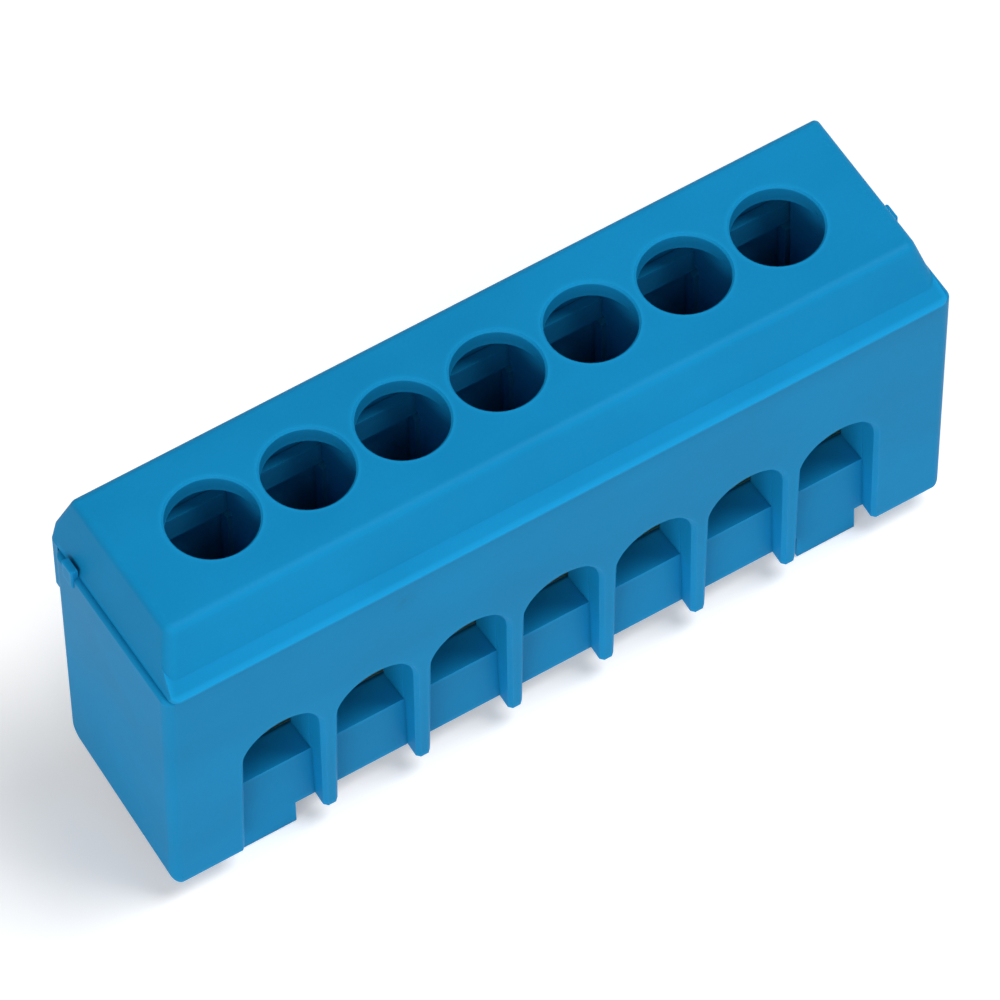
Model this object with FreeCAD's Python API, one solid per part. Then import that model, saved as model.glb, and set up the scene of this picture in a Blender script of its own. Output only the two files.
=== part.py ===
import FreeCAD, Part
import math
import os

# Seven-way tap-off terminal, in millimetres.
# +X runs along the row of ways, -Y is the side the wires enter, +Z is up to the screwdriver holes.
# The origin is the middle of the footprint, at the level the feet stand on.

# The row of ways
way_count = 7
pitch = 7.0
hole_row_y = 0.56

# Terminal bar
bar_floor_z = 7.4
bar_depth = 7.0
bar_height = 10.0
bar_end_gap = 0.1
bar_side_gap = 0.05
bar_edge_bevel = 0.4
bar_hole_bevel = 0.4
wire_bore_radius = 2.5
wire_bore_rise = 3.7
wire_bore_bevel = 0.4

# Clamping screws
screw_radius = 2.5
screw_clearance = 0.05
screw_length = 7.0
screw_tip_gap = 0.1
screw_tip_bevel = 0.7
driver_slot_width = 1.0
driver_slot_depth = 1.3

# Housing, the lower moulding
foot_drop = 2.05
base_rise = 1.45
seam_z = 24.15
end_land = 8.35
end_wall = 2.05
wall = 1.5
back_wall = 1.6
front_lean = 0.037
base_plate = 1.4
base_heel_round = 1.5
corner_round = 0.75
seam_round = 0.3
rib_width = 1.2
rib_depth = 0.93
rib_drop = 2.15
room_step = 0.1

# Arched wire slots in the front wall
slot_web = 1.3
slot_rise = 4.0
slot_depth = 1.25
slot_base_flare = 0.12
slot_edge_bevel = 0.25
panel_thickness = 2.37
sill_step = 0.2
neck_gap = 0.25
neck_rise = 0.5

# Cap, the upper moulding
cap_height = 4.65
cap_end_step = 0.4
cap_end_taper = 1.2
cap_end_wall = 1.2
cap_front_wall = 1.0
cap_plate = 1.4
flange_stand = 0.232
flange_land = 0.15
ledge_height = 1.0
ledge_depth = 1.05
front_slant = 1.25
back_slant = 1.17
back_land = 1.25
cap_shoulder_round = 0.8
cap_back_round = 0.4
flange_corner_round = 0.7
cap_edge_round = 0.7
hole_land = 0.86
access_edge_bevel = 0.15
partition_width = 0.9
rim_depth = 1.6
rim_thickness = 0.9
fit_gap = 0.05

# Rear skirt of the cap, outside the back wall of the housing
skirt_height = 5.2
skirt_thickness = 0.97
skirt_bevel = 0.3

# Feet, and the snap lugs at the ends of the seam
foot_length = 4.45
foot_thickness = 1.5
foot_bevel = 0.1
left_foot_shift = -0.75
right_foot_shift = 0.1
lug_length = 1.3
lug_stand = 0.15
lug_drop = 0.85
lug_rise = 0.75
lug_round = 0.15
left_lug_y = 4.6
right_lug_y = 0.0

# Places that follow from the sizes, along the row
way_x = [(i - (way_count - 1) / 2) * pitch for i in range(way_count)]
gap_x = [(i - way_count / 2) * pitch for i in range(way_count + 1)]
half_length = way_x[-1] + end_land
room_half_length = half_length - end_wall
bar_half_length = room_half_length - bar_end_gap
cap_low_half_length = half_length - cap_end_step
cap_top_half_length = cap_low_half_length - cap_end_taper
slot_width = pitch - slot_web
access_radius = (pitch - hole_land) / 2

# Heights that follow
base_z = foot_drop
rear_base_z = base_z + base_rise
bar_top_z = bar_floor_z + bar_height
wire_axis_z = bar_floor_z + wire_bore_rise
sill_z = bar_floor_z + sill_step
slot_top = wire_axis_z + slot_rise
neck_top = wire_axis_z + wire_bore_radius + neck_rise
rib_top_z = seam_z - rib_drop
ledge_top_z = seam_z + ledge_height
cap_top = seam_z + cap_height
cap_under = cap_top - cap_plate
skirt_low_z = seam_z - skirt_height

# Depths that follow, from the bar out to the front and to the back
bar_front = hole_row_y - bar_depth / 2
bar_back = hole_row_y + bar_depth / 2
room_low_front = bar_front - bar_side_gap
pocket_back = room_low_front - panel_thickness
front_at_base = pocket_back - slot_depth
front_at_seam = front_at_base - front_lean * (seam_z - base_z)
room_front = front_at_base - front_lean * bar_height + wall
room_back = bar_back + bar_side_gap + rib_depth
housing_back = room_back + back_wall
flange_front = front_at_seam - flange_stand
ledge_top_y = flange_front + ledge_depth
top_front_y = ledge_top_y + front_slant
cap_back = housing_back + fit_gap + skirt_thickness
top_back_y = cap_back - back_slant


def vec(x, y, z):
    return FreeCAD.Vector(x, y, z)


def block(x0, x1, y0, y1, z0, z1):
    return Part.makeBox(x1 - x0, y1 - y0, z1 - z0, vec(x0, y0, z0))


def drum(radius, length, start, direction):
    return Part.makeCylinder(radius, length, start, direction)


def cone(r0, r1, length, start, direction):
    return Part.makeCone(r0, r1, length, start, direction)


def front_y(z):
    return front_at_base - front_lean * (z - base_z)


def prism(points, direction):
    wire = Part.makePolygon(points + [points[0]])
    return Part.Face(wire).extrude(direction)


def edges_where(shape, test):
    found = []
    for e in shape.Edges:
        ends = [v.Point for v in e.Vertexes]
        if len(ends) == 2 and test(e, ends[0], ends[1]):
            found.append(e)
    return found


def arch_outline(x, y, half_width, top_z, low_z, flare):
    # Flat sill, two sides that may flare a little towards it, and a half-round head.
    spring_z = top_z - half_width
    a = vec(x - half_width - flare, y, low_z)
    b = vec(x + half_width + flare, y, low_z)
    c = vec(x + half_width, y, spring_z)
    top = vec(x, y, top_z)
    d = vec(x - half_width, y, spring_z)
    sill = Part.makeLine(a, b)
    right = Part.makeLine(b, c)
    head = Part.Arc(c, top, d).toShape()
    left = Part.makeLine(d, a)
    return Part.Wire([sill, right, head, left])


def make_housing():
    # Outer block: the front wall leans out towards the top, the underside rises to a rounded heel.
    side = [vec(-half_length, front_y(base_z), base_z), vec(-half_length, housing_back, rear_base_z),
            vec(-half_length, housing_back, seam_z), vec(-half_length, front_y(seam_z), seam_z)]
    body = prism(side, vec(2 * half_length, 0, 0))
    heel = edges_where(body, lambda e, a, b: abs(a.z - rear_base_z) < 0.01 and abs(b.z - rear_base_z) < 0.01)
    body = body.makeFillet(base_heel_round, heel)
    outline = edges_where(body, lambda e, a, b: abs(a.x - b.x) < 0.01 and min(a.z, b.z) < seam_z - 0.01)
    body = body.makeFillet(corner_round, outline)
    rim = edges_where(body, lambda e, a, b: a.z > seam_z - 0.01 and b.z > seam_z - 0.01)
    body = body.makeFillet(seam_round, rim)

    # Seven arched slots, open at the bottom, sunk to the inner panel.
    for x in way_x:
        outline = Part.Face(arch_outline(x, pocket_back, slot_width / 2, slot_top, base_z - 1, slot_base_flare))
        body = body.cut(outline.extrude(vec(0, -4, 0)))
    mouths = edges_where(body, lambda e, a, b: on_slot_mouth(a) and on_slot_mouth(b)
                         and abs(a.z - b.z) + abs(a.x - b.x) > 1 and not at_base(a, b))
    body = body.makeChamfer(slot_edge_bevel, mouths)

    # Room for the bar, and the wider room above it.
    body = body.cut(block(-room_half_length, room_half_length, room_low_front, room_back,
                          bar_floor_z, seam_z + 1))
    body = body.cut(block(-room_half_length, room_half_length, room_front, room_back,
                          bar_top_z + room_step, seam_z + 1))

    # Tapering wire ways, each from its arch to its bore, over a flat sill.
    for x in way_x:
        mouth = arch_outline(x, pocket_back, slot_width / 2, slot_top, sill_z, 0)
        neck = arch_outline(x, room_low_front, wire_bore_radius + neck_gap, neck_top, sill_z, 0)
        body = body.cut(Part.makeLoft([mouth, neck], True, True))

    # Upright ribs behind the bar keep it forward.
    ribs = []
    for x in gap_x:
        ribs.append(block(x - rib_width / 2, x + rib_width / 2, bar_back + bar_side_gap, room_back + 0.5,
                          bar_floor_z, rib_top_z))
    body = body.fuse(ribs)

    # Underside cored out between cross ribs.
    stops = [-room_half_length - rib_width / 2] + gap_x + [room_half_length + rib_width / 2]
    for x0, x1 in zip(stops[:-1], stops[1:]):
        body = body.cut(block(x0 + rib_width / 2, x1 - rib_width / 2, pocket_back + wall, room_back,
                              base_z - 1, bar_floor_z - base_plate))

    # Feet under the inner panel and under the back wall.
    feet = []
    for x in (way_x[0] + left_foot_shift, way_x[-1] + right_foot_shift):
        feet.append(foot(x, pocket_back, base_z + 0.5))
        feet.append(foot(x, housing_back - foot_thickness, rear_base_z + base_heel_round + 0.2))
    body = body.fuse(feet)

    # Small snap lugs beside the cap, one at each end.
    body = body.fuse([lug(-1, left_lug_y), lug(1, right_lug_y)])
    return body.removeSplitter()


def on_slot_mouth(p):
    return abs(p.y - front_y(p.z)) < 0.02 and abs(p.x) < way_x[-1] + pitch / 2 and p.z < slot_top + 0.1


def at_base(a, b):
    return abs(a.z - base_z) < 0.01 and abs(b.z - base_z) < 0.01


def foot(x, y0, high_z):
    f = block(x - foot_length / 2, x + foot_length / 2, y0, y0 + foot_thickness, 0, high_z)
    low = edges_where(f, lambda e, a, b: abs(a.z) < 0.01 and abs(b.z) < 0.01)
    return f.makeChamfer(foot_bevel, low)


def lug(side, y):
    near = side * (cap_low_half_length + fit_gap)
    far = side * (half_length + lug_stand)
    body = block(min(near, far), max(near, far), y - lug_length / 2, y + lug_length / 2,
                 seam_z - lug_drop, seam_z + lug_rise)
    outer = edges_where(body, lambda e, a, b: max(abs(a.x), abs(b.x)) > half_length and max(a.z, b.z) > seam_z)
    return body.makeFillet(lug_round, outer)


def make_cap():
    # Cross-section of the cap: flange land, sloping ledge, slanted front, flat top, slanted back.
    far = 35.0
    side = [vec(-far, flange_front, seam_z), vec(-far, flange_front, seam_z + flange_land),
            vec(-far, ledge_top_y, ledge_top_z), vec(-far, top_front_y, cap_top),
            vec(-far, top_back_y, cap_top), vec(-far, cap_back, seam_z + back_land),
            vec(-far, cap_back, seam_z)]
    body = prism(side, vec(2 * far, 0, 0))
    # Both ends taper in towards the top.
    face = [vec(-cap_low_half_length, -far, seam_z), vec(cap_low_half_length, -far, seam_z),
            vec(cap_top_half_length, -far, cap_top), vec(-cap_top_half_length, -far, cap_top)]
    body = body.common(prism(face, vec(0, 2 * far, 0)))
    shoulders = edges_where(body, lambda e, a, b: abs(a.z - b.z) > 2 and a.y < 0)
    body = body.makeFillet(cap_shoulder_round, shoulders)
    top = edges_where(body, lambda e, a, b: a.z > cap_top - 0.01 and b.z > cap_top - 0.01)
    body = body.makeFillet(cap_edge_round, top)
    back = edges_where(body, lambda e, a, b: abs(a.z - b.z) > 1 and min(a.y, b.y) > 0)
    body = body.makeFillet(cap_back_round, back)
    # Plan outline with rounded front corners on the flange.
    plan = block(-cap_low_half_length, cap_low_half_length, flange_front, cap_back + 1, seam_z - 1, cap_top + 1)
    uprights = edges_where(plan, lambda e, a, b: abs(a.z - b.z) > 2 and a.y < 0)
    body = body.common(plan.makeFillet(flange_corner_round, uprights))

    # Hollow underside, one plate thick at the top.
    end_in = cap_top_half_length - cap_end_wall
    hollow = prism([vec(-end_in, room_front, seam_z - 1), vec(-end_in, room_front, ledge_top_z),
                    vec(-end_in, top_front_y + cap_front_wall, cap_under), vec(-end_in, room_back, cap_under),
                    vec(-end_in, room_back, seam_z - 1)], vec(2 * end_in, 0, 0))
    body = body.cut(hollow)

    # Seven screwdriver holes with a softened edge.
    for x in way_x:
        body = body.cut(drum(access_radius, cap_plate + 2, vec(x, hole_row_y, cap_under - 1), vec(0, 0, 1)))
    mouths = [e for e in body.Edges if e.Closed and abs(e.BoundBox.ZMin - cap_top) < 0.01
              and e.BoundBox.XLength < 2 * access_radius + 0.1]
    body = body.makeChamfer(access_edge_bevel, mouths)

    # Cross partitions that stand on the bar and hold it down.
    parts = []
    for x in gap_x:
        low = block(x - partition_width / 2, x + partition_width / 2, bar_front + 0.3, bar_back - 0.3,
                    bar_top_z, cap_under + 0.4)
        parts.append(low)
    for x in gap_x[1:-1]:
        web = prism([vec(x - partition_width / 2, room_front + fit_gap, seam_z - 1.2),
                     vec(x - partition_width / 2, room_front + fit_gap, ledge_top_z),
                     vec(x - partition_width / 2, top_front_y + cap_front_wall - 0.1, cap_under + 0.1),
                     vec(x - partition_width / 2, room_back - 0.4, cap_under + 0.1),
                     vec(x - partition_width / 2, room_back - 0.4, seam_z - 1.2)],
                    vec(partition_width, 0, 0))
        parts.append(web)
    body = body.fuse(parts)

    # Rim that plugs into the mouth of the housing.
    out_x = room_half_length - fit_gap
    out_front = room_front + fit_gap
    outer = block(-out_x, out_x, out_front, room_back - fit_gap, seam_z - rim_depth, seam_z + 0.5)
    inner = block(-out_x + rim_thickness, out_x - rim_thickness, out_front + rim_thickness,
                  room_back - fit_gap - rim_thickness + 0.2, seam_z - rim_depth - 1, seam_z + 1)
    body = body.fuse(outer.cut(inner))

    # Skirt down the back, outside the back wall of the housing.
    skirt = block(-cap_low_half_length, cap_low_half_length, housing_back + fit_gap, cap_back,
                  skirt_low_z, seam_z + 0.05)
    uprights = edges_where(skirt, lambda e, a, b: abs(a.z - b.z) > 1 and a.y > cap_back - 0.01)
    skirt = skirt.makeFillet(cap_back_round, uprights)
    low = edges_where(skirt, lambda e, a, b: a.z < skirt_low_z + 0.01 and b.z < skirt_low_z + 0.01
                      and a.y > cap_back - 1 and b.y > cap_back - 1 and abs(a.x - b.x) > 2)
    skirt = skirt.makeChamfer(skirt_bevel, low)
    body = body.fuse(skirt)
    return body.removeSplitter()


def make_bar():
    bar = block(-bar_half_length, bar_half_length, bar_front, bar_back, bar_floor_z, bar_top_z)
    long_edges = edges_where(bar, lambda e, a, b: abs(a.x - b.x) > 10)
    bar = bar.makeChamfer(bar_edge_bevel, long_edges)
    for x in way_x:
        bar = bar.cut(drum(wire_bore_radius, bar_depth + 2, vec(x, bar_front - 1, wire_axis_z), vec(0, 1, 0)))
        bar = bar.cut(cone(wire_bore_radius + wire_bore_bevel, wire_bore_radius, wire_bore_bevel,
                           vec(x, bar_front, wire_axis_z), vec(0, 1, 0)))
        hole = screw_radius + screw_clearance
        bar = bar.cut(drum(hole, bar_height, vec(x, hole_row_y, wire_axis_z), vec(0, 0, 1)))
        bar = bar.cut(cone(hole, hole + bar_hole_bevel, bar_hole_bevel,
                           vec(x, hole_row_y, bar_top_z - bar_hole_bevel), vec(0, 0, 1)))
    return bar.removeSplitter()


def make_screw(x):
    tip_z = wire_axis_z + wire_bore_radius + screw_tip_gap
    top_z = tip_z + screw_length
    shank = drum(screw_radius, screw_length - screw_tip_bevel, vec(x, hole_row_y, tip_z + screw_tip_bevel),
                 vec(0, 0, 1))
    tip = cone(screw_radius - screw_tip_bevel, screw_radius, screw_tip_bevel, vec(x, hole_row_y, tip_z),
               vec(0, 0, 1))
    slot = block(x - screw_radius - 1, x + screw_radius + 1, hole_row_y - driver_slot_width / 2,
                 hole_row_y + driver_slot_width / 2, top_z - driver_slot_depth, top_z + 1)
    return shank.fuse(tip).removeSplitter().cut(slot)


os.makedirs("parts", exist_ok=True)

housing = make_housing()
housing.exportStep("parts/housing.step")

cap = make_cap()
cap.exportStep("parts/cap.step")

terminal_bar = make_bar()
terminal_bar.exportStep("parts/terminal_bar.step")

for number, x in enumerate(way_x, start=1):
    make_screw(x).exportStep("parts/clamp_screw_%d.step" % number)
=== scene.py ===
"""Looks of a seven-way tap-off terminal, in metres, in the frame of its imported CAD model.

+X runs along the row of ways, -Y is the side the wires enter, +Z is up to the screwdriver holes.
"""

import bpy
import numpy as np
from mathutils import Matrix, Vector


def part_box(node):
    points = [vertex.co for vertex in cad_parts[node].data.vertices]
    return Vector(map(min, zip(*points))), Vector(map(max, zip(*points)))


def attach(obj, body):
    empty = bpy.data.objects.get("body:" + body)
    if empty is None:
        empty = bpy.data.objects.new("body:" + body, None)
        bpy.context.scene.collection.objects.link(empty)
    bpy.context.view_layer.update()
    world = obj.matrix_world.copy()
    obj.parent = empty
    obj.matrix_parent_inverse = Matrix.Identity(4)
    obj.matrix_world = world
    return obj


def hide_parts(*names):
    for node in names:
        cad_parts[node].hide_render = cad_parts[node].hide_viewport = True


MM = 0.001

# Screws: sizes, the angle each one is turned to in radians, and how finely their meshes are divided
SCREW_RADIUS = 2.5 * MM
THREAD_PITCH = 0.8 * MM
THREAD_DEPTH = 0.42 * MM
THREAD_STEEPNESS = 1.25
THREAD_FLAT = 0.12
CROWN_BEVEL = 0.3 * MM
TIP_BEVEL = 0.7 * MM
DRIVER_SLOT_WIDTH = 1.0 * MM
DRIVER_SLOT_DEPTH = 1.3 * MM
DRIVER_SLOT_DRAFT = 0.03 * MM
SCREW_TURNS = [0.35, 1.92, 2.61, 0.84, 1.31, 2.97, 0.12]
RINGS_PER_PITCH = 8
ROWS_PER_SIDE = 22
ROWS_IN_SLOT = 5
STEPS_ACROSS = 7

# Camera, found from the photograph's edges
CAMERA_PLACE = Vector((-0.190330, -0.328571, 0.573730))
CAMERA_RIGHT = Vector((0.85144146, -0.52411141, -0.0188325))
CAMERA_DOWN = Vector((-0.44266163, -0.69893874, -0.5617253))
CAMERA_FORWARD = Vector((0.28124387, 0.48661264, -0.82710944))
SENSOR_WIDTH = 36.0
FOCAL_LENGTH = 378.0
CLIP_START = 0.01
CLIP_END = 20.0

# Lamps: name, turn from the front towards +X, rise from the floor, and level
LAMPS = [
    ("left_lamp", -60.0, 15.0, 0.39),
    ("front_lamp", -30.0, 40.0, 0.14),
    ("top_lamp", 60.0, 65.0, 0.74),
]
LAMP_DISTANCE = 1.0
LAMP_SIZE = 0.5

# Floor and surroundings
FLOOR_HALF = 3.0
FLOOR_PALE = 0.86
FLOOR_ROUGHNESS = 0.9
FLOOR_LIFT = 0.3
WORLD_LEVEL = 0.2

# Spans of a noise: its middle part, and a wider one
NOISE_MIDDLE = (0.35, 0.65)
NOISE_WIDE = (0.3, 0.7)

# Blue moulding: colours, grains a metre and tones of each pattern, and the heights of its bumps
DEEP_BLUE = (0.0054, 0.225, 0.472)
PALE_BLUE = (0.0060, 0.246, 0.516)
# Paler blue of the painted highlight on the outer edges
EDGE_HIGHLIGHT_BLUE = (0.0085, 0.300, 0.62)
CLOUD_GRAINS = 90.0
FLOW_STRETCH = (25.0, 160.0, 160.0)
FLOW_TONES = (0.97, 1.03)
FLECK_GRAINS = 5200.0
FLECK_TONES = (0.985, 1.015)
WAVE_GRAINS = 260.0
WAVE_HEIGHT = 0.012 * MM
MOULD_GRAINS = 6500.0
MOULD_HEIGHT = 0.004 * MM
PLASTIC_IOR = 1.45
PLASTIC_SHINE = 0.05
PLASTIC_ROUGHNESS = (0.43, 0.52)

# Painted highlight and painted shade: how far the surface looks round for an edge, for free room and
# for a corner, and the shares of openness between which the painted edge highlight and the painted
# corner shade set in
EDGE_REACH = 0.45 * MM
EDGE_SPAN = (0.96, 0.55)
ROOM_REACH = 4.0 * MM
ROOM_SPAN = (0.5, 0.8)
CORNER_REACH = 0.3 * MM
CORNER_SPAN = (0.45, 0.95)
CORNER_SHADE_TONES = (0.72, 1.0)
EDGE_RAYS = 3

# A faint dark smudge on the front, just below the ledge
SMUDGE_BLUE = (0.010, 0.175, 0.33)
SMUDGE_PLACE = Vector((-11.85, -7.35, 21.9)) * MM
SMUDGE_REACH = 1.0 * MM
SMUDGE_MOST = 0.55
SMUDGE_GRAINS = 1600.0
SMUDGE_SPAN = (0.4, 0.65)
SMUDGE_SHARES = (0.15, 1.0)

# Drawn brass
BRIGHT_BRASS = (0.50, 0.37, 0.17)
DULL_BRASS = (0.24, 0.17, 0.08)
DRAWN_STRETCH = (120.0, 9000.0, 9000.0)
DRAWN_HEIGHT = 0.004 * MM
TARNISH_GRAINS = 240.0
TARNISH_SPAN = (0.42, 0.7)
TARNISH_SHARES = (0.0, 0.8)
BRASS_ROUGHNESS = (0.28, 0.46)

# Zinc-plated steel
COOL_ZINC = (0.58, 0.60, 0.62)
WARM_ZINC = (0.72, 0.71, 0.67)
ZINC_GRAINS = 900.0
TURNED_STRETCH = (500.0, 500.0, 14000.0)
TURNED_HEIGHT = 0.003 * MM
ZINC_ROUGHNESS = (0.24, 0.36)


# Nodes of a material


def new_material(name):
    """An empty node material with its shader and output joined: (material, nodes, links, shader)."""
    material = bpy.data.materials.new(name)
    material.use_nodes = True
    nodes = material.node_tree.nodes
    links = material.node_tree.links
    nodes.clear()
    shader = nodes.new("ShaderNodeBsdfPrincipled")
    output = nodes.new("ShaderNodeOutputMaterial")
    links.new(shader.outputs["BSDF"], output.inputs["Surface"])
    return material, nodes, links, shader


def noise(nodes, links, place, scale, detail=2.0, roughness=0.5, distortion=0.0):
    """Noise of so many grains a metre at the given place, as a height from 0 to 1."""
    texture = nodes.new("ShaderNodeTexNoise")
    texture.inputs["Scale"].default_value = scale
    texture.inputs["Detail"].default_value = detail
    texture.inputs["Roughness"].default_value = roughness
    texture.inputs["Distortion"].default_value = distortion
    links.new(place, texture.inputs["Vector"])
    return texture.outputs["Fac"]


def ranged(nodes, links, value, span, target=(0.0, 1.0)):
    """The value carried from its span to the target in a straight line, and held at both ends."""
    change = nodes.new("ShaderNodeMapRange")
    change.inputs["From Min"].default_value = span[0]
    change.inputs["From Max"].default_value = span[1]
    change.inputs["To Min"].default_value = target[0]
    change.inputs["To Max"].default_value = target[1]
    links.new(value, change.inputs["Value"])
    return change.outputs["Result"]


def blended(nodes, links, amount, first, second):
    """Two colours, each three numbers or a socket, blended by the amount."""
    mix = nodes.new("ShaderNodeMix")
    mix.data_type = "RGBA"
    mix.clamp_factor = True
    links.new(amount, mix.inputs["Factor"])
    for socket, colour in ((mix.inputs["A"], first), (mix.inputs["B"], second)):
        if isinstance(colour, tuple):
            socket.default_value = (*colour, 1.0)
        else:
            links.new(colour, socket)
    return mix.outputs["Result"]


def toned(nodes, links, colour, tone):
    """A colour with each of its parts multiplied by the tone."""
    scale = nodes.new("ShaderNodeVectorMath")
    scale.operation = "SCALE"
    links.new(colour, scale.inputs["Vector"])
    links.new(tone, scale.inputs["Scale"])
    return scale.outputs["Vector"]


def product(nodes, links, first, second):
    """Two values multiplied."""
    times = nodes.new("ShaderNodeMath")
    times.operation = "MULTIPLY"
    links.new(first, times.inputs[0])
    links.new(second, times.inputs[1])
    return times.outputs["Value"]


def open_share(nodes, links, reach, inside):
    """How open the surface is within the reach, from 0 to 1: less in a corner or, inside, at edges."""
    share = nodes.new("ShaderNodeAmbientOcclusion")
    share.samples = EDGE_RAYS
    share.inside = inside
    share.only_local = inside
    share.inputs["Distance"].default_value = reach
    return share.outputs["AO"]


def stretched(nodes, links, place, factors):
    """The place with each of its axes multiplied by its own factor."""
    mapping = nodes.new("ShaderNodeMapping")
    mapping.inputs["Scale"].default_value = factors
    links.new(place, mapping.inputs["Vector"])
    return mapping.outputs["Vector"]


def bumped(nodes, links, height, shader, depth, before=None):
    """A bump of the given depth in metres, laid over the one before it."""
    bump = nodes.new("ShaderNodeBump")
    bump.inputs["Strength"].default_value = 1.0
    bump.inputs["Distance"].default_value = depth
    links.new(height, bump.inputs["Height"])
    if before is not None:
        links.new(before, bump.inputs["Normal"])
    links.new(bump.outputs["Normal"], shader.inputs["Normal"])
    return bump.outputs["Normal"]


# Finishes


def moulded_plastic(name, smudge=None):
    """Satin blue moulding.

    Its colour drifts between a deeper and a paler blue by a slow cloud, by faint flow streaks
    stretched along the row of ways, and by a fine fleck. A painted highlight makes it paler on the
    outer edges where the surface is open, and a painted shade makes it a little darker in the corners.
    Its roughness follows the cloud, and its bump is the fine grain of the mould over a very shallow
    waviness. A smudge is a soft dark spot around one point.
    """
    material, nodes, links, shader = new_material(name)
    place = nodes.new("ShaderNodeTexCoord").outputs["Object"]
    cloud = noise(nodes, links, place, CLOUD_GRAINS, detail=3.0)
    along_row = stretched(nodes, links, place, FLOW_STRETCH)
    flow = noise(nodes, links, along_row, 1.0, detail=3.0, distortion=0.6)
    fleck = noise(nodes, links, place, FLECK_GRAINS, detail=1.0)
    cloudy = ranged(nodes, links, cloud, NOISE_MIDDLE)
    body = blended(nodes, links, cloudy, DEEP_BLUE, PALE_BLUE)
    body = toned(nodes, links, body, ranged(nodes, links, flow, NOISE_WIDE, FLOW_TONES))
    body = toned(nodes, links, body, ranged(nodes, links, fleck, NOISE_WIDE, FLECK_TONES))
    # Painted highlight: outer edges are made paler, only where the surface is open to free room
    edge_highlight = ranged(nodes, links, open_share(nodes, links, EDGE_REACH, True), EDGE_SPAN)
    open_room = ranged(nodes, links, open_share(nodes, links, ROOM_REACH, False), ROOM_SPAN)
    body = blended(nodes, links, product(nodes, links, edge_highlight, open_room), body, EDGE_HIGHLIGHT_BLUE)
    # Painted shade: the corners and creases are made a little darker
    corner_shade = open_share(nodes, links, CORNER_REACH, False)
    body = toned(nodes, links, body, ranged(nodes, links, corner_shade, CORNER_SPAN, CORNER_SHADE_TONES))
    if smudge is not None:
        spot = spot_around(nodes, links, place, smudge, SMUDGE_REACH)
        body = blended(nodes, links, spot, body, SMUDGE_BLUE)
    links.new(body, shader.inputs["Base Color"])
    links.new(ranged(nodes, links, cloud, NOISE_WIDE, PLASTIC_ROUGHNESS), shader.inputs["Roughness"])
    shader.inputs["IOR"].default_value = PLASTIC_IOR
    shader.inputs["Specular IOR Level"].default_value = PLASTIC_SHINE
    waves = noise(nodes, links, place, WAVE_GRAINS, detail=2.0)
    wavy = bumped(nodes, links, waves, shader, WAVE_HEIGHT)
    grain = noise(nodes, links, place, MOULD_GRAINS, detail=2.0, roughness=0.6)
    bumped(nodes, links, grain, shader, MOULD_HEIGHT, before=wavy)
    return material


def spot_around(nodes, links, place, centre, reach):
    """A soft spot: its most at the centre, and nothing beyond the reach, broken up by noise."""
    distance = nodes.new("ShaderNodeVectorMath")
    distance.operation = "DISTANCE"
    links.new(place, distance.inputs[0])
    distance.inputs[1].default_value = centre
    inner = ranged(nodes, links, distance.outputs["Value"], (0.0, reach), (SMUDGE_MOST, 0.0))
    grains = noise(nodes, links, place, SMUDGE_GRAINS, detail=3.0)
    return product(nodes, links, inner, ranged(nodes, links, grains, SMUDGE_SPAN, SMUDGE_SHARES))


def drawn_brass(name):
    """Brass bar stock: fine lines along X from drawing, and a tarnish in clouds."""
    material, nodes, links, shader = new_material(name)
    place = nodes.new("ShaderNodeTexCoord").outputs["Object"]
    lines = noise(nodes, links, stretched(nodes, links, place, DRAWN_STRETCH), 1.0, detail=3.0)
    cloud = noise(nodes, links, place, TARNISH_GRAINS, detail=4.0)
    tarnish = ranged(nodes, links, cloud, TARNISH_SPAN, TARNISH_SHARES)
    links.new(blended(nodes, links, tarnish, BRIGHT_BRASS, DULL_BRASS), shader.inputs["Base Color"])
    links.new(ranged(nodes, links, lines, NOISE_WIDE, BRASS_ROUGHNESS), shader.inputs["Roughness"])
    shader.inputs["Metallic"].default_value = 1.0
    bumped(nodes, links, lines, shader, DRAWN_HEIGHT)
    return material


def plated_steel(name):
    """Zinc-plated steel: a pale grey with a faint warm and cool cloud, and fine turning rings."""
    material, nodes, links, shader = new_material(name)
    place = nodes.new("ShaderNodeTexCoord").outputs["Object"]
    cloud = noise(nodes, links, place, ZINC_GRAINS, detail=3.0)
    rings = noise(nodes, links, stretched(nodes, links, place, TURNED_STRETCH), 1.0)
    warmth = ranged(nodes, links, cloud, NOISE_MIDDLE)
    links.new(blended(nodes, links, warmth, COOL_ZINC, WARM_ZINC), shader.inputs["Base Color"])
    links.new(ranged(nodes, links, cloud, NOISE_WIDE, ZINC_ROUGHNESS), shader.inputs["Roughness"])
    shader.inputs["Metallic"].default_value = 1.0
    bumped(nodes, links, rings, shader, TURNED_HEIGHT)
    return material


# Clamping screws


def rim_rows():
    """Places of the rows, from one side of the screw to the other, and which lie in the driver slot.

    Each row is a line across the screw, parallel to the slot. Outside the slot, the rows lie at the
    sines of even steps of angle, so they crowd towards the rim. Each wall of the slot lies between a
    row on the crown and one in the slot, a draft apart.
    """
    half = DRIVER_SLOT_WIDTH / 2
    edge_angle = np.arcsin(half / SCREW_RADIUS)
    outer = np.sin(np.linspace(np.pi / 2, edge_angle, ROWS_PER_SIDE)) * SCREW_RADIUS
    inner = np.linspace(half - DRIVER_SLOT_DRAFT, DRIVER_SLOT_DRAFT - half, ROWS_IN_SLOT)
    rows = np.concatenate([outer, inner, -outer[::-1]])
    in_slot = np.concatenate([np.zeros(len(outer)), np.ones(len(inner)), np.zeros(len(outer))])
    return rows, in_slot > 0.5


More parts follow.
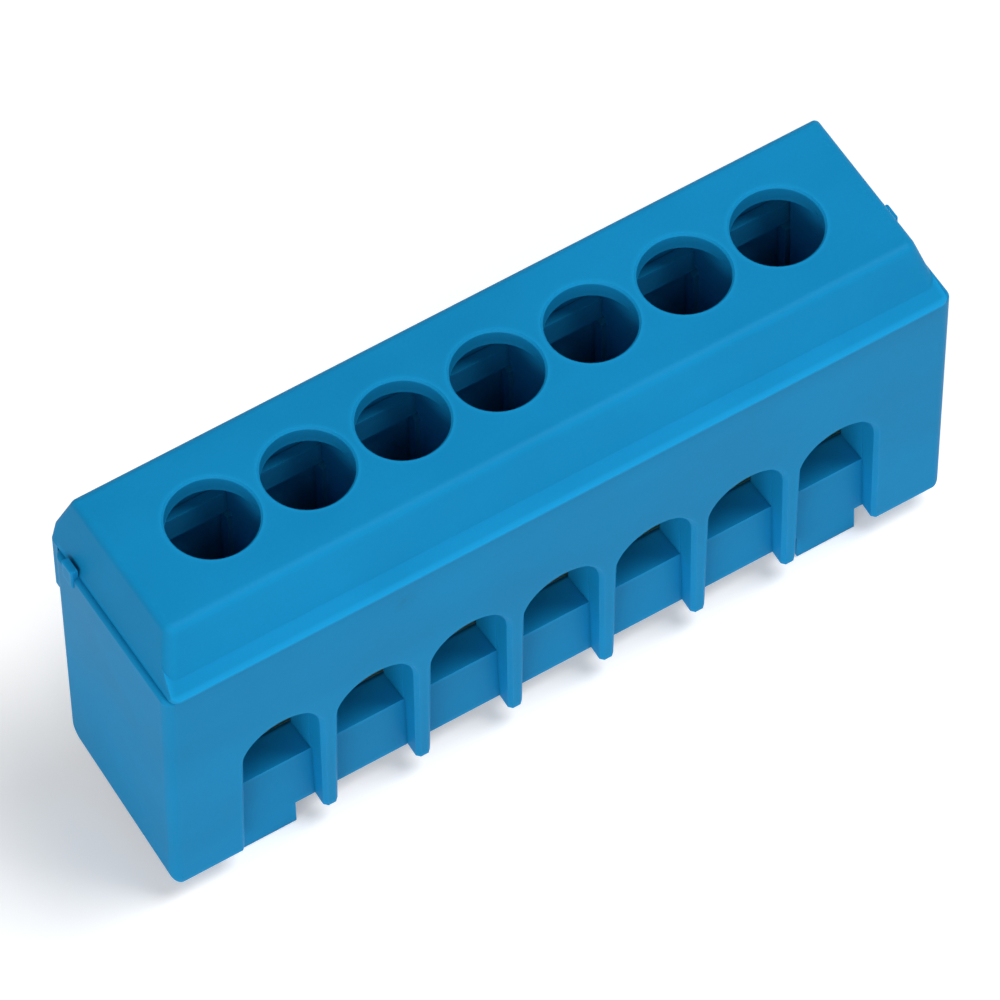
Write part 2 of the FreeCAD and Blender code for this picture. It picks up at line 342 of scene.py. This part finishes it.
def threaded_screw(name, centre_x, centre_y, low_z, high_z, turn):
    """A slotted set screw, its side a function of the angle a and the height z.

    The radius is the full radius less the thread's depth times a V wave of z / pitch - a / full turn,
    the wave made steeper and cut off to leave a flat crest and root. It is no more than a cone that
    starts one bevel inside the rim at each end. The crown and the tip are ruled: each row is the
    straight line across from one rim point to the other.
    """
    rows, in_slot = rim_rows()
    angle = np.arcsin(np.clip(rows / SCREW_RADIUS, -1.0, 1.0))
    ring = np.concatenate([angle, np.pi - angle[::-1][1:-1]])
    slot_ring = np.concatenate([in_slot, in_slot[::-1][1:-1]])
    levels = int(round((high_z - low_z) / THREAD_PITCH * RINGS_PER_PITCH)) + 1
    share = np.linspace(0.0, 1.0, levels)[:, None]
    crown = np.where(slot_ring, high_z - DRIVER_SLOT_DEPTH, high_z)[None, :]
    height = low_z + share * (crown - low_z)
    phase = (height - low_z) / THREAD_PITCH - ring[None, :] / (2 * np.pi)
    wave = np.abs(2 * (phase - np.floor(phase)) - 1)
    radius = SCREW_RADIUS - THREAD_DEPTH * np.clip(THREAD_STEEPNESS * wave - THREAD_FLAT, 0.0, 1.0)
    cone = np.minimum(
        SCREW_RADIUS - CROWN_BEVEL + (high_z - height), SCREW_RADIUS - TIP_BEVEL + (height - low_z)
    )
    radius = np.minimum(radius, cone)
    side = np.stack([radius * np.cos(ring)[None, :], radius * np.sin(ring)[None, :], height], axis=-1)

    count = len(ring)
    around = np.arange(count)
    after = (around + 1) % count
    level = (np.arange(levels - 1) * count)[:, None]
    points = [side.reshape(-1, 3)]
    quads = [grid_faces(level + after, level + around, level + count + around, level + count + after)]
    triangles = []
    right = np.arange(1, len(rows) - 1)
    left = (count - right) % count
    across = np.linspace(0.0, 1.0, STEPS_ACROSS + 2)[None, 1:-1, None]
    start = levels * count
    for rim_start, upward in (((levels - 1) * count, True), (0, False)):
        rim = points[0][rim_start:rim_start + count]
        inside = rim[right][:, None, :] * (1 - across) + rim[left][:, None, :] * across
        points.append(inside.reshape(-1, 3))
        own = start + np.arange(len(right) * STEPS_ACROSS).reshape(-1, STEPS_ACROSS)
        index = np.column_stack([rim_start + right, own, rim_start + left])
        start += own.size
        sheet = grid_faces(index[:-1, :-1], index[:-1, 1:], index[1:, 1:], index[1:, :-1])
        quads.append(sheet if upward else sheet[:, ::-1])
        for end_row, pole, first in ((index[0], 0, True), (index[-1], len(rows) - 1, False)):
            tip = np.full(STEPS_ACROSS + 1, rim_start + pole)
            fan = np.column_stack([tip, end_row[:-1], end_row[1:]])
            triangles.append(fan[:, ::-1] if first == upward else fan)

    points = np.concatenate(points)
    cosine, sine = np.cos(turn), np.sin(turn)
    placed = np.column_stack(
        [
            centre_x + cosine * points[:, 0] - sine * points[:, 1],
            centre_y + sine * points[:, 0] + cosine * points[:, 1],
            points[:, 2],
        ]
    )
    mesh = bpy.data.meshes.new(name)
    faces = np.concatenate(quads).tolist() + np.concatenate(triangles).tolist()
    mesh.from_pydata(placed.tolist(), [], faces)
    mesh.update()
    piece = bpy.data.objects.new(name, mesh)
    bpy.context.scene.collection.objects.link(piece)
    return piece


def grid_faces(*corners):
    """Four-cornered faces from four arrays of point numbers, one for each corner."""
    return np.stack(np.broadcast_arrays(*corners), axis=-1).reshape(-1, 4)


# Studio


def make_camera():
    """The photograph's camera: its place, its three directions and its focal length."""
    lens = bpy.data.cameras.new("photo_camera")
    lens.sensor_fit = "HORIZONTAL"
    lens.sensor_width = SENSOR_WIDTH
    lens.lens = FOCAL_LENGTH
    lens.clip_start = CLIP_START
    lens.clip_end = CLIP_END
    camera = bpy.data.objects.new("photo_camera", lens)
    turn = Matrix((CAMERA_RIGHT, -CAMERA_DOWN, -CAMERA_FORWARD)).transposed()
    camera.matrix_world = Matrix.Translation(CAMERA_PLACE) @ turn.to_4x4()
    bpy.context.scene.collection.objects.link(camera)
    bpy.context.scene.camera = camera


def seen_directly(nodes, links):
    """One for rays from the camera, a gloss or a glass, and nothing for the others."""
    path = nodes.new("ShaderNodeLightPath")
    total = path.outputs["Is Camera Ray"]
    for kind in ("Is Glossy Ray", "Is Transmission Ray"):
        most = nodes.new("ShaderNodeMath")
        most.operation = "MAXIMUM"
        links.new(total, most.inputs[0])
        links.new(path.outputs[kind], most.inputs[1])
        total = most.outputs["Value"]
    return total


def make_floor():
    """A pale floor at the level of the feet, with a lift that only direct views of it see."""
    low, high = -FLOOR_HALF, FLOOR_HALF
    corners = [(low, low, 0.0), (high, low, 0.0), (high, high, 0.0), (low, high, 0.0)]
    mesh = bpy.data.meshes.new("floor")
    mesh.from_pydata(corners, [], [(0, 1, 2, 3)])
    floor = bpy.data.objects.new("floor", mesh)
    bpy.context.scene.collection.objects.link(floor)
    material, nodes, links, shader = new_material("pale_floor")
    shader.inputs["Base Color"].default_value = (FLOOR_PALE, FLOOR_PALE, FLOOR_PALE, 1.0)
    shader.inputs["Roughness"].default_value = FLOOR_ROUGHNESS
    shader.inputs["Specular IOR Level"].default_value = 0.0
    shader.inputs["Emission Color"].default_value = (1.0, 1.0, 1.0, 1.0)
    amount = nodes.new("ShaderNodeMath")
    amount.operation = "MULTIPLY"
    links.new(seen_directly(nodes, links), amount.inputs[0])
    amount.inputs[1].default_value = FLOOR_LIFT
    links.new(amount.outputs["Value"], shader.inputs["Emission Strength"])
    floor.data.materials.append(material)


def make_world():
    """An even pale surrounding, white where it is seen directly."""
    world = bpy.data.worlds.new("studio")
    world.use_nodes = True
    nodes = world.node_tree.nodes
    links = world.node_tree.links
    nodes.clear()
    background = nodes.new("ShaderNodeBackground")
    output = nodes.new("ShaderNodeOutputWorld")
    background.inputs["Color"].default_value = (1.0, 1.0, 1.0, 1.0)
    level = nodes.new("ShaderNodeMapRange")
    level.inputs["To Min"].default_value = WORLD_LEVEL
    level.inputs["To Max"].default_value = 1.0
    links.new(seen_directly(nodes, links), level.inputs["Value"])
    links.new(level.outputs["Result"], background.inputs["Strength"])
    links.new(background.outputs["Background"], output.inputs["Surface"])
    bpy.context.scene.world = world


def make_lamp(name, turn, rise, level):
    """A square soft lamp that faces the object.

    Its turn is counted from the front towards +X and its rise from the floor, both in degrees. Its
    level is what it adds to a white surface that faces it.
    """
    data = bpy.data.lights.new(name, "AREA")
    data.shape = "SQUARE"
    data.size = LAMP_SIZE
    data.energy = level * np.pi**2 * LAMP_DISTANCE**2
    lamp = bpy.data.objects.new(name, data)
    across, up = np.radians(turn), np.radians(rise)
    aim = Vector((np.sin(across) * np.cos(up), -np.cos(across) * np.cos(up), np.sin(up)))
    place = Matrix.Translation(aim * LAMP_DISTANCE)
    lamp.matrix_world = place @ aim.to_track_quat("Z", "Y").to_matrix().to_4x4()
    bpy.context.scene.collection.objects.link(lamp)


# The object


def dress(node, material):
    """Gives a CAD node its finish."""
    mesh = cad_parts[node].data
    mesh.materials.clear()
    mesh.materials.append(material)


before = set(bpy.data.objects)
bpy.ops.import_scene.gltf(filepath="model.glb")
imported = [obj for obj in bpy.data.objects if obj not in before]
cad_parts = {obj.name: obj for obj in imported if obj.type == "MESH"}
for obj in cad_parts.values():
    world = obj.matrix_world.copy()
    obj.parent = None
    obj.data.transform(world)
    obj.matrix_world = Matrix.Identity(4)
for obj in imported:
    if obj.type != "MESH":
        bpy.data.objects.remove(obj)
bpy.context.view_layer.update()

housing_blue = moulded_plastic("housing_blue", smudge=SMUDGE_PLACE)
cap_blue = moulded_plastic("cap_blue")
brass = drawn_brass("drawn_brass")
steel = plated_steel("zinc_plated_steel")

dress("housing", housing_blue)
dress("cap", cap_blue)
dress("terminal_bar", brass)

for number, turn in enumerate(SCREW_TURNS, start=1):
    node = f"clamp_screw_{number}"
    low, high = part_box(node)
    screw = threaded_screw(
        f"threaded_screw_{number}", (low.x + high.x) / 2, (low.y + high.y) / 2, low.z, high.z, turn
    )
    screw.data.materials.append(steel)
    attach(screw, f"screw_{number}")
    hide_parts(node)

bpy.context.scene.view_settings.view_transform = "Standard"
make_camera()
make_world()
make_floor()
for name, turn, rise, level in LAMPS:
    make_lamp(name, turn, rise, level)
